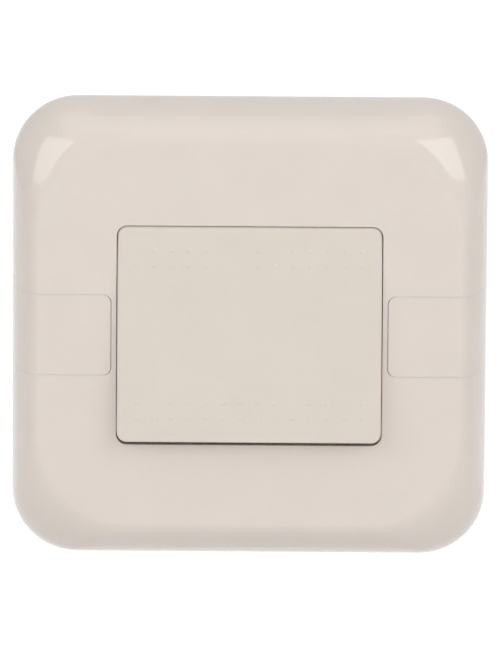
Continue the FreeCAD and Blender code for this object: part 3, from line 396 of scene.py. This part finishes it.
def close_foot(skin, foot, edge, way):
    """Fills the far end of a lip round an insert, over the roll and over the flat face."""
    count = ROLL_STEPS + 1
    normals = [way * normal for _, normal in edge[:count]]
    lower, upper = foot[:count], foot[-count:][::-1]
    skin.strip(
        [(point, normal) for (point, _), normal in zip(lower, normals)],
        [(point, normal) for (point, _), normal in zip(upper, normals)],
    )
    skin.flat([[point for point, _ in foot[count - 1:-count + 1]]], way * FRONT)


def points_of(rows):
    return [point for point, _ in rows]


def turned_to(rows, normal):
    return [(point, normal) for point, _ in rows]


def make_cover():
    skin = Skin()
    half = INSERT_HALF + SIDE_SEAM
    tops = {}
    for side, level in QUARTERS:
        rows = skin_over(skin, quarter_tags(), side, level, ROLL_STEPS)
        tops[side, level] = points_of(rows[-1])

    # Beds for the inserts: rolled edge, walls and floor
    beds = {}
    for side in (1, -1):
        start = INSERT_START - END_SEAM - SEAM_EDGE
        path = seam_path(side, half + SEAM_EDGE, start, INSERT_CORNER + SEAM_EDGE)
        edge = [(point, normal) for point, normal, _ in path]
        foot = lip(skin, edge, [-out for _, _, out in path], INSERT_SKIN + BED_SLACK)
        beds[side] = points_of(edge)
        close_foot(skin, foot, edge, 1)

    # Front face between the roll, the beds and the opening
    on_face = {}
    for side in (1, -1):
        on_face[side] = [point for point in beds[side] if abs(point.y + DEPTH) < 1e-6]
    outer = tops[1, 1] + tops[-1, 1][::-1][1:] + on_face[-1][::-1][1:-1]
    outer += tops[-1, -1] + tops[1, -1][::-1][1:] + on_face[1][1:-1]
    half_width, half_height, corner = OPENING
    edge = outline(
        half_width + OPENING_EDGE, half_height + OPENING_EDGE, corner + OPENING_EDGE, DEPTH
    )
    skin.flat([outer, points_of(edge)], FRONT)

    # Opening with its rounded edge and collar
    foot = lip(
        skin, turned_to(edge, FRONT), [-out for _, out in edge],
        COVER_WALL + COLLAR_DEPTH, OPENING_EDGE_STEPS, OPENING_EDGE, True,
    )
    wide = outline(
        half_width + COLLAR_WALL, half_height + COLLAR_WALL, corner + COLLAR_WALL,
        DEPTH - COVER_WALL - COLLAR_DEPTH,
    )
    skin.strip(turned_to(foot, BACK), turned_to(wide, BACK), True)
    root = [(Vector((point.x, COVER_WALL - DEPTH, point.z)), out) for point, out in wide]
    skin.strip(wide, root, True)

    # Inside of the shell and the rim that meets the wall
    inner_tops = []
    beside_insert = [("level", value * half) for value in (0.0, 0.5)]
    tags = beside_insert + quarter_tags()
    for side, level in QUARTERS:
        rows = skin_over(skin, tags, side, level, HOLLOW_STEPS, COVER_WALL)
        ring = points_of(rows[-1])
        inner_tops += ring[:-1] if side * level > 0 else ring[::-1][:-1]
        outside = [mirrored((form_point(0, tag), FRONT), side, level) for tag in tags]
        first = len(beside_insert)
        skin.strip(turned_to(outside[first:], BACK), turned_to(rows[0][first:], BACK))
    skin.flat([inner_tops, points_of(root)], BACK)
    for side in (1, -1):
        x_low, x_high = sorted((
            side * (HALF_WIDTH - COVER_WALL), side * (HALF_WIDTH - INSERT_SKIN - BED_SLACK)
        ))
        skin.face(
            [(x_low, 0, -half), (x_high, 0, -half), (x_high, 0, half), (x_low, 0, half)],
            [BACK] * 4,
        )

    # Snap legs with their hooks
    for side in (1, -1):
        for level in (1, -1):
            low, high = level * LEG_LEVEL - LEG_HALF_WIDTH, level * LEG_LEVEL + LEG_HALF_WIDTH
            left, right = sorted((side * LEG_INSIDE, side * LEG_OUTSIDE))
            skin.block((left, COVER_WALL - DEPTH, low), (right, LEG_END, high))
            left, right = sorted((side * HOOK_INSIDE, side * HOOK_OUTSIDE))
            skin.block((left, HOOK_FRONT, low), (right, LEG_END, high))
    return skin.build("plate_shell")


def make_insert(side):
    skin = Skin()
    half = INSERT_HALF - SEAM_EDGE
    path = seam_path(side, half, INSERT_START + SEAM_EDGE, INSERT_CORNER - SEAM_EDGE)
    edge = [(point, normal) for point, normal, _ in path]
    foot = lip(skin, edge, [out for _, _, out in path], INSERT_SKIN)
    rows = skin_over(skin, level_tags(half), side, 1, ROLL_STEPS)
    inner_end = points_of(edge[ROLL_STEPS + 1:-ROLL_STEPS - 1])
    skin.flat([points_of(rows[-1]) + inner_end[::-1]], FRONT)

    # Back of the skin and the end that meets the wall
    close_foot(skin, foot, edge, -1)
    end = [(side * HALF_WIDTH, 0, -half), (side * HALF_WIDTH, 0, half), foot[-1][0], foot[0][0]]
    skin.face(end, [BACK] * 4)
    return skin.build(f"plate_insert_{'right' if side > 0 else 'left'}")


# Rocker cap

def dome(skin, x, z, sides=14, steps=4):
    """A dot on the cap's face. Returns the ring at its foot."""
    ball = (DOT_RADIUS ** 2 + DOT_HEIGHT ** 2) / (2 * DOT_HEIGHT)
    reach = math.asin(min(1.0, DOT_RADIUS / ball))
    centre = Vector((x, -(CAP_STAND + DOT_HEIGHT - ball), z))
    rows = []
    for step in range(steps + 1):
        lean = reach * (1 - step / steps)
        row = []
        for number in range(sides):
            turn = 2 * math.pi * number / sides
            out = Vector((
                math.sin(lean) * math.cos(turn), -math.cos(lean),
                math.sin(lean) * math.sin(turn),
            ))
            row.append((centre + out * ball, out))
        rows.append(row)
    for first, second in zip(rows, rows[1:]):
        skin.strip(first, second, True)
    return points_of(rows[0])


def cap_edge(out):
    """Reach and drop of the front edge: soft along the upper end, tight along the lower one."""
    end = CAP_TOP_EDGE if out.z > 0 else CAP_LOW_EDGE
    return [side + (last - side) * abs(out.z) for side, last in zip(CAP_SIDE_EDGE, end)]


def make_cap():
    """The cap is drawn upright about the pivot and tilted at the end."""
    skin = Skin()
    half_width, half_height, corner = CAP
    rim = outline(half_width, half_height, corner, 0.0)
    rows = []
    for step in range(CAP_EDGE_STEPS + 1):
        turn = math.pi / 2 * step / CAP_EDGE_STEPS
        row = []
        for point, out in rim:
            reach, drop = cap_edge(out)
            forward = CAP_STAND - drop * (1 - math.cos(turn))
            row.append((
                point - out * reach * (1 - math.sin(turn)) + FRONT * forward,
                FRONT * math.cos(turn) * reach + out * math.sin(turn) * drop,
            ))
        rows.append(row)
    rings = [
        dome(skin, (number - (DOTS - 1) / 2) * DOT_PITCH, level)
        for level in DOT_ROWS for number in range(DOTS)
    ]
    skin.flat([points_of(rows[0])] + rings, FRONT)
    for first, second in zip(rows, rows[1:]):
        skin.strip(first, second, True)

    # Skirt and inside
    foot = outline(half_width, half_height, corner, -SKIRT_REACH)
    skin.strip(rows[-1], foot, True)
    hollow = outline(half_width - CAP_SKIRT, half_height - CAP_SKIRT, corner, -SKIRT_REACH)
    skin.strip(turned_to(foot, BACK), turned_to(hollow, BACK), True)
    inside = CAP_FACE - CAP_STAND
    roof = [(Vector((point.x, inside, point.z)), -out) for point, out in hollow]
    skin.strip([(point, -out) for point, out in hollow], roof, True)
    skin.flat([points_of(roof)], BACK)

    # Ribs at the sides, and clips with their lips at the ends
    for side in (1, -1):
        left = side * RIB_SIDE - RIB_HALF_THICKNESS
        right = side * RIB_SIDE + RIB_HALF_THICKNESS
        skin.block((left, inside, -RIB_HALF_LENGTH), (right, inside + RIB_DEPTH, RIB_HALF_LENGTH))
    for level in (1, -1):
        for inner_end, front in ((CLIP_INSIDE, inside), (LIP_INSIDE, LIP_FRONT)):
            low, high = sorted((level * inner_end, level * CLIP_OUTSIDE))
            skin.block((-CLIP_HALF_WIDTH, front, low), (CLIP_HALF_WIDTH, CLIP_END, high))
    tilt = Matrix.Rotation(math.radians(-TILT), 4, "X")
    return skin.build("rocker_face", Matrix.Translation(FRONT * PIVOT_FORWARD * MM) @ tilt)


# Claw screws

def arc(x, radius, forward, first, last, steps):
    """Part of a circle round the screw's axis as (point, outward normal)."""
    row = []
    for step in range(steps + 1):
        turn = first + (last - first) * step / steps
        out = Vector((math.cos(turn), 0, math.sin(turn)))
        row.append((Vector((x, 0, 0)) + out * radius + FRONT * forward, out))
    return row


def make_claw_screw(word):
    skin = Skin()
    low, high = (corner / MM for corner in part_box(f"claw_screw_{word}"))
    x, top, tip = (low.x + high.x) / 2, -low.y, -high.y
    seat, floor = top - SCREW_HEAD, top - SCREW_SLOT_DEPTH
    whole = 2 * math.pi

    # Head with its slot
    for hand in (1, -1):
        rows = []
        for radius, forward in (
            (SCREW_HEAD_RADIUS - SCREW_CHAMFER, top), (SCREW_HEAD_RADIUS, top - SCREW_CHAMFER),
            (SCREW_HEAD_RADIUS, floor),
        ):
            limit = math.acos(SCREW_SLOT_HALF / radius)
            middle = 0.0 if hand > 0 else math.pi
            rows.append(arc(x, radius, forward, middle - limit, middle + limit, HALF_HEAD_STEPS))
        skin.flat([points_of(rows[0])], FRONT)
        skin.strip(*([(point, out + FRONT) for point, out in row] for row in rows[:2]))
        skin.strip(rows[1], rows[2])
        ends = [row[0][0] for row in rows] + [row[-1][0] for row in reversed(rows)]
        skin.flat([ends], Vector((-hand, 0, 0)))
    limit = math.acos(SCREW_SLOT_HALF / SCREW_HEAD_RADIUS)
    slot_floor = []
    for first, last in ((limit, math.pi - limit), (math.pi + limit, whole - limit)):
        slot_floor += arc(x, SCREW_HEAD_RADIUS, floor, first, last, SLOT_END_STEPS)
    skin.flat([points_of(slot_floor)], FRONT)
    under_head = arc(x, SCREW_HEAD_RADIUS, seat, 0, whole, HEAD_STEPS)
    skin.strip(arc(x, SCREW_HEAD_RADIUS, floor, 0, whole, HEAD_STEPS), under_head)
    neck = arc(x, THREAD_ROOT, seat, 0, whole, HEAD_STEPS)
    skin.strip(turned_to(under_head, BACK), turned_to(neck, BACK))

    # Threaded shank: two flanks between a root line and a crest line, and a tapered tip
    length = seat - tip
    count = int((length / THREAD_PITCH + 2) * THREAD_STEPS)

    def spiral(radius, shift, lean):
        row = []
        for step in range(count):
            turn = whole * step / THREAD_STEPS
            along = (step / THREAD_STEPS - 1 + shift) * THREAD_PITCH
            along = min(max(along, 0.0), length)
            in_tip = max(0.0, along - length + TIP_LENGTH)
            point_radius = min(radius, THREAD_CREST - TIP_TAPER * in_tip)
            out = Vector((math.cos(turn), 0, math.sin(turn)))
            row.append((
                Vector((x, 0, 0)) + out * point_radius + FRONT * (seat - along),
                out * THREAD_PITCH / 2 + FRONT * lean * (THREAD_CREST - THREAD_ROOT),
            ))
        return row

    skin.strip(spiral(THREAD_ROOT, 0.0, 1), spiral(THREAD_CREST, 0.5, 1))
    skin.strip(spiral(THREAD_CREST, 0.5, -1), spiral(THREAD_ROOT, 1.0, -1))
    last = whole * (1 - 1 / THREAD_STEPS)
    end = arc(x, THREAD_ROOT - TIP_STEP, tip, 0, last, THREAD_STEPS - 1)
    skin.flat([points_of(end)], BACK)
    return skin.build(f"threaded_screw_{word}")


# Materials

def socket(shader, name, value):
    shader.inputs[name].default_value = value


def new_material(name):
    material = bpy.data.materials.new(name)
    material.use_nodes = True
    tree = material.node_tree
    return material, tree, tree.nodes["Principled BSDF"]


def noise(tree, scale, detail=3.0):
    where = tree.nodes.new("ShaderNodeTexCoord")
    texture = tree.nodes.new("ShaderNodeTexNoise")
    texture.inputs["Scale"].default_value = scale
    texture.inputs["Detail"].default_value = detail
    texture.inputs["Roughness"].default_value = 0.5
    tree.links.new(where.outputs["Object"], texture.inputs["Vector"])
    return texture.outputs["Fac"]


def spread(tree, value, low, high):
    """Maps noise, which mostly lies between 0.25 and 0.75, to a range."""
    ramp = tree.nodes.new("ShaderNodeMapRange")
    ramp.inputs["From Min"].default_value = 0.25
    ramp.inputs["From Max"].default_value = 0.75
    ramp.inputs["To Min"].default_value = low
    ramp.inputs["To Max"].default_value = high
    tree.links.new(value, ramp.inputs["Value"])
    return ramp.outputs["Result"]


def tinted(tree, value, first, second):
    ramp = tree.nodes.new("ShaderNodeValToRGB")
    ramp.color_ramp.elements[0].position = 0.3
    ramp.color_ramp.elements[1].position = 0.7
    ramp.color_ramp.elements[0].color = (*first, 1)
    ramp.color_ramp.elements[1].color = (*second, 1)
    tree.links.new(value, ramp.inputs["Fac"])
    return ramp.outputs["Color"]


def bump(tree, shader, value, strength, distance):
    node = tree.nodes.new("ShaderNodeBump")
    node.inputs["Strength"].default_value = strength
    node.inputs["Distance"].default_value = distance
    tree.links.new(value, node.inputs["Height"])
    tree.links.new(node.outputs["Normal"], shader.inputs["Normal"])


def linear(*colour):
    """An sRGB colour of 0 to 255 as linear values of 0 to 1."""
    return tuple(
        (value / 255 / 12.92) if value / 255 <= 0.04045 else ((value / 255 + 0.055) / 1.055) ** 2.4
        for value in colour
    )


def shaded(name, first, second, rough, grain, bump_size, metallic, patches):
    material, tree, shader = new_material(name)
    colour = tinted(tree, noise(tree, patches), linear(*first), linear(*second))
    tree.links.new(colour, shader.inputs["Base Color"])
    tree.links.new(spread(tree, noise(tree, grain), *rough), shader.inputs["Roughness"])
    bump(tree, shader, noise(tree, grain, 2.0), *bump_size)
    socket(shader, "Metallic", metallic)
    return material, shader


def translucent(shader):
    """Light wanders about a millimetre inside the plastic and warms the gaps."""
    socket(shader, "Subsurface Weight", SCATTERED)
    socket(shader, "Subsurface Radius", SCATTER_COLOURS)
    socket(shader, "Subsurface Scale", SCATTER_REACH)


FINISHES = {}
for slot, look in LOOKS.items():
    FINISHES[slot], shader = shaded(*look)
    if slot in TRANSLUCENT:
        translucent(shader)


# The solids that show as they are get their slot's look too

for row in frame["record"]["subparts"]:
    node = NODES[row["node"]]
    if not node.material_slots:
        node.data.materials.append(FINISHES[row["material_slot"]])
    for holder in node.material_slots:
        holder.material = FINISHES[row["material_slot"]]


def add_piece(piece, body, slot, node):
    piece.data.materials.append(FINISHES[slot])
    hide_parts(node)
    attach(piece, body)


add_piece(make_cover(), "housing", "plate_plastic", "cover_frame")
add_piece(make_insert(-1), "housing", "plate_plastic", "insert_left")
add_piece(make_insert(1), "housing", "plate_plastic", "insert_right")
add_piece(make_cap(), "rocker", "rocker_plastic", "rocker_cap")
for word in ("left", "right"):
    add_piece(make_claw_screw(word), f"{word}_claw_screw", "plated_steel", f"claw_screw_{word}")


# Floor, light and camera

def seen_or_mirrored(tree):
    """1 for camera, mirror and see-through rays, 0 for the light on dull surfaces."""
    path = tree.nodes.new("ShaderNodeLightPath")
    total = path.outputs["Is Camera Ray"]
    for kind in ("Is Glossy Ray", "Is Transmission Ray"):
        add = tree.nodes.new("ShaderNodeMath")
        add.operation = "MAXIMUM"
        tree.links.new(total, add.inputs[0])
        tree.links.new(path.outputs[kind], add.inputs[1])
        total = add.outputs["Value"]
    return total


def make_floor():
    mesh = bpy.data.meshes.new("floor")
    corners = [
        (x * FLOOR_REACH, y * FLOOR_REACH, FLOOR_LEVEL)
        for x, y in ((-1, -1), (1, -1), (1, 1), (-1, 1))
    ]
    mesh.from_pydata(corners, [], [(0, 1, 2, 3)])
    floor = bpy.data.objects.new("floor", mesh)
    bpy.context.scene.collection.objects.link(floor)
    material, tree, shader = new_material("floor_paint")
    socket(shader, "Roughness", 0.9)
    socket(shader, "Base Color", (FLOOR_PAINT, FLOOR_PAINT, FLOOR_PAINT, 1))
    tree.links.new(seen_or_mirrored(tree), shader.inputs["Emission Strength"])
    socket(shader, "Emission Color", (FLOOR_GLOW, FLOOR_GLOW, FLOOR_GLOW, 1))
    floor.data.materials.append(material)


def make_world():
    """White where it is seen or mirrored, and a dimmer, slightly warm light elsewhere."""
    world = bpy.data.worlds.new("studio")
    bpy.context.scene.world = world
    world.use_nodes = True
    tree = world.node_tree
    tree.nodes.clear()
    seen = tree.nodes.new("ShaderNodeBackground")
    soft = tree.nodes.new("ShaderNodeBackground")
    mix = tree.nodes.new("ShaderNodeMixShader")
    out = tree.nodes.new("ShaderNodeOutputWorld")
    seen.inputs["Color"].default_value = (1, 1, 1, 1)
    seen.inputs["Strength"].default_value = 1.0
    soft.inputs["Color"].default_value = (1.0, 0.995, 0.985, 1)
    soft.inputs["Strength"].default_value = WORLD_FILL
    tree.links.new(seen_or_mirrored(tree), mix.inputs["Fac"])
    tree.links.new(soft.outputs["Background"], mix.inputs[1])
    tree.links.new(seen.outputs["Background"], mix.inputs[2])
    tree.links.new(mix.outputs["Shader"], out.inputs["Surface"])


def make_lamp(name, place, width, height, power, reflected):
    """A softbox that points at the origin."""
    data = bpy.data.lights.new(name, "AREA")
    data.shape = "RECTANGLE"
    data.size, data.size_y = width, height
    data.energy = power
    lamp = bpy.data.objects.new(name, data)
    bpy.context.scene.collection.objects.link(lamp)
    lamp.location = place
    lamp.rotation_mode = "QUATERNION"
    lamp.rotation_quaternion = (Vector() - Vector(place)).to_track_quat("-Z", "Y")
    lamp.visible_glossy = reflected


def make_camera():
    data = bpy.data.cameras.new("camera")
    data.sensor_width = SENSOR
    data.sensor_fit = "AUTO"
    data.lens = SCALE * DISTANCE / MM / PICTURE_HEIGHT * SENSOR
    data.shift_x = (PICTURE_WIDTH / 2 - MIDDLE[0]) / PICTURE_HEIGHT
    data.shift_y = (MIDDLE[1] - PICTURE_HEIGHT / 2) / PICTURE_HEIGHT
    data.clip_start, data.clip_end = 0.05, 50.0
    camera = bpy.data.objects.new("camera", data)
    bpy.context.scene.collection.objects.link(camera)
    up = math.radians(ELEVATION)
    back = Vector((0, -math.cos(up), math.sin(up)))
    camera.location = back * DISTANCE
    camera.rotation_mode = "QUATERNION"
    facing_origin = (-back).to_track_quat("-Z", "Y").to_matrix()
    lean = Matrix.Rotation(math.radians(LEAN), 3, "Z")
    camera.rotation_quaternion = (facing_origin @ lean).to_quaternion()
    bpy.context.scene.camera = camera


make_floor()
make_world()
for lamp in LAMPS:
    make_lamp(*lamp)
make_camera()
bpy.context.scene.view_settings.view_transform = "Standard"
